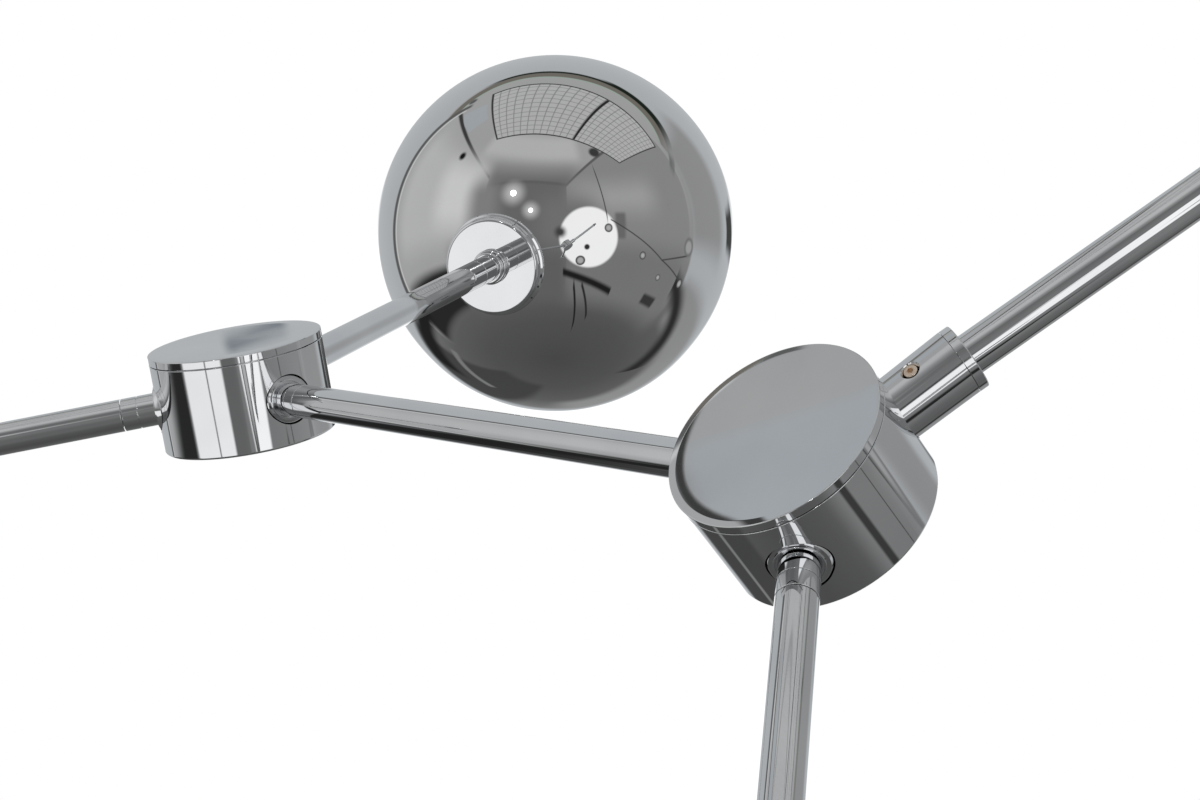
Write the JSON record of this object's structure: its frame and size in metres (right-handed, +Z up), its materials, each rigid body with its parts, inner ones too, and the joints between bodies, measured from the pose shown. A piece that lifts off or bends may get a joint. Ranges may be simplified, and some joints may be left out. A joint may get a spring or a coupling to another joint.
{
  "type": "branching chandelier section",
  "caption": "Section of a ball-jointed branching chandelier: polished drum hubs on slim rods, with a smoked mirror glass globe lamp.",
  "frame": {"origin": "centre of the flat underside of hub B's drum, the nearer hub", "axes": "+Z up, as the section hangs; +Y runs along the section, from hub B towards the globe; +X to the right when seen looking along +Y"},
  "size_m": [0.5599, 0.805, 0.3151],
  "materials": {
    "chrome": "polished chrome plate",
    "steel": "zinc-plated steel",
    "brass": "plain brass screw",
    "nylon": "natural nylon",
    "rubber": "soft black rubber",
    "cable_sheath": "thin white sheath",
    "ceramic": null,
    "bulb_glass": "frosted capsule bulb",
    "smoked_glass": "smoked mirror-finish blown glass"
  },
  "bodies": {
    "hub_b": {"drum_b": "chrome", "clamp_ring_b_link": "steel", "clamp_ring_b_down": "steel", "clamp_ring_b_up": "steel", "terminal_block_b": "ceramic", "port_sleeve": "chrome"},
    "lid_b": {"lid_b": "chrome"},
    "grub_screw": {"grub_screw": "brass"},
    "end_ring": {"end_ring": "chrome"},
    "hanging_rod": {"hanging_rod": "chrome", "hanger_nipple": "steel"},
    "link_seat": {"seat_ring_link": "nylon"},
    "link_stud": {"ball_stud_link": "chrome"},
    "link_arm": {"tube_link": "chrome", "ball_stud_link_far": "chrome", "cable_link": "cable_sheath"},
    "link_far_seat": {"seat_ring_link_far": "nylon"},
    "hub_a": {"drum_a": "chrome", "clamp_ring_a_link": "steel", "clamp_ring_a_lamp": "steel", "clamp_ring_a_side": "steel", "terminal_block_a": "ceramic"},
    "lid_a": {"lid_a": "chrome"},
    "down_seat": {"seat_ring_down": "nylon"},
    "down_stud": {"ball_stud_down": "chrome"},
    "down_arm": {"tube_down": "chrome", "ball_stud_down_far": "chrome"},
    "side_seat": {"seat_ring_side": "nylon"},
    "side_stud": {"ball_stud_side": "chrome"},
    "side_arm": {"tube_side": "chrome", "ball_stud_side_far": "chrome"},
    "lamp_seat": {"seat_ring_lamp": "nylon"},
    "lamp_stud": {"ball_stud_lamp": "chrome"},
    "lamp_arm": {"tube_lamp": "chrome", "cable_lamp": "cable_sheath", "lamp_nipple": "chrome", "lamp_cap": "chrome", "lampholder": "ceramic", "neck_gasket": "rubber"},
    "collar_nut": {"collar_nut": "chrome"},
    "bulb": {"bulb": "bulb_glass"},
    "bayonet_ring": {"bayonet_ring": "steel"},
    "globe": {"glass_globe": "smoked_glass"}
  },
  "joints": [
    {"name": "link_swivel", "type": "hinge", "parent": "hub_b", "child": "link_seat", "pos_m": [-0.02669, 0.00911, 0.01343], "axis": [-0.694, 0.7126, 0.1028], "range_deg": [-90, 90]},
    {"name": "link_tilt", "type": "hinge", "parent": "link_seat", "child": "link_stud", "pos_m": [-0.02669, 0.00911, 0.01343], "axis": [-0.1927, -0.0463, -0.9802], "range_deg": [-29, 10]},
    {"name": "link_spin", "type": "hinge", "parent": "link_stud", "child": "link_arm", "pos_m": [-0.02669, 0.00911, 0.01343], "axis": [-0.5682, 0.8197, 0.073], "range_deg": [-90, 90]},
    {"name": "hub_a_tilt", "type": "hinge", "parent": "link_arm", "child": "link_far_seat", "pos_m": [-0.17897, 0.22878, 0.03299], "axis": [0.0503, -0.054, 0.9973], "range_deg": [-24, 15]},
    {"name": "hub_a_swivel", "type": "hinge", "parent": "link_far_seat", "child": "hub_a", "pos_m": [-0.17897, 0.22878, 0.03299], "axis": [0.6282, -0.7746, -0.0736], "range_deg": [-90, 90]},
    {"name": "side_swivel", "type": "hinge", "parent": "hub_a", "child": "side_seat", "pos_m": [-0.22129, 0.24585, 0.03015], "axis": [-0.9751, -0.1281, -0.1811], "range_deg": [-90, 90]},
    {"name": "side_tilt", "type": "hinge", "parent": "side_seat", "child": "side_stud", "pos_m": [-0.22129, 0.24585, 0.03015], "axis": [0.193, -0.0869, -0.9773], "range_deg": [-25, 14]},
    {"name": "side_spin", "type": "hinge", "parent": "side_stud", "child": "side_arm", "pos_m": [-0.22129, 0.24585, 0.03015], "axis": [-0.9811, -0.03, -0.1911], "range_deg": [-90, 90]},
    {"name": "lamp_swivel", "type": "hinge", "parent": "hub_a", "child": "lamp_seat", "pos_m": [-0.18639, 0.27306, 0.04166], "axis": [0.3469, 0.9026, 0.2547], "range_deg": [-90, 90]},
    {"name": "lamp_tilt", "type": "hinge", "parent": "lamp_seat", "child": "lamp_stud", "pos_m": [-0.18639, 0.27306, 0.04166], "axis": [-0.6765, 0.0527, 0.7346], "range_deg": [-22, 17]},
    {"name": "lamp_spin", "type": "hinge", "parent": "lamp_stud", "child": "lamp_arm", "pos_m": [-0.18639, 0.27306, 0.04166], "axis": [0.3124, 0.9238, 0.2215], "range_deg": [-90, 90]},
    {"name": "down_swivel", "type": "hinge", "parent": "hub_b", "child": "down_seat", "pos_m": [-0.01103, -0.02811, -0.00803], "axis": [-0.1005, -0.6972, -0.7098], "range_deg": [-90, 90]},
    {"name": "down_tilt", "type": "hinge", "parent": "down_seat", "child": "down_stud", "pos_m": [-0.01103, -0.02811, -0.00803], "axis": [-0.9811, 0.1879, -0.0456], "range_deg": [-23, 16]},
    {"name": "down_spin", "type": "hinge", "parent": "down_stud", "child": "down_arm", "pos_m": [-0.01103, -0.02811, -0.00803], "axis": [-0.1117, -0.7433, -0.6596], "range_deg": [-90, 90]},
    {"name": "collar_nut_turn", "type": "hinge", "parent": "lamp_arm", "child": "collar_nut", "pos_m": [-0.0861, 0.56959, 0.11275], "axis": [0.3124, 0.9238, 0.2215], "range_deg": [-180, 180]},
    {"name": "bayonet_turn", "type": "hinge", "parent": "lamp_arm", "child": "bayonet_ring", "pos_m": [-0.0861, 0.56959, 0.11275], "axis": [0.3124, 0.9238, 0.2215], "range_deg": [0, 30]},
    {"name": "globe_pull", "type": "slide", "parent": "bayonet_ring", "child": "globe", "axis": [0.3124, 0.9238, 0.2215], "range_m": [0, 0.045]},
    {"name": "bulb_pull", "type": "slide", "parent": "lamp_arm", "child": "bulb", "axis": [0.3124, 0.9238, 0.2215], "range_m": [0, 0.02]},
    {"name": "end_ring_turn", "type": "hinge", "parent": "hub_b", "child": "end_ring", "pos_m": [0.03295, -0.0105, 0.04228], "axis": [0.818, -0.0296, 0.5744], "range_deg": [-90, 90]},
    {"name": "hanging_rod_slide", "type": "slide", "parent": "end_ring", "child": "hanging_rod", "axis": [0.818, -0.0296, 0.5744], "range_m": [-0.003, 0.01]},
    {"name": "grub_screw_back_out", "type": "slide", "parent": "hub_b", "child": "grub_screw", "axis": [-0.4415, -0.7009, 0.5602], "range_m": [0, 0.003]},
    {"name": "lid_b_lift", "type": "slide", "parent": "hub_b", "child": "lid_b", "axis": [-0.5013, -0.5807, 0.6414], "range_m": [0, 0.025]},
    {"name": "lid_a_lift", "type": "slide", "parent": "hub_a", "child": "lid_a", "axis": [-0.1511, -0.2142, 0.965], "range_m": [0, 0.025]}
  ]
}
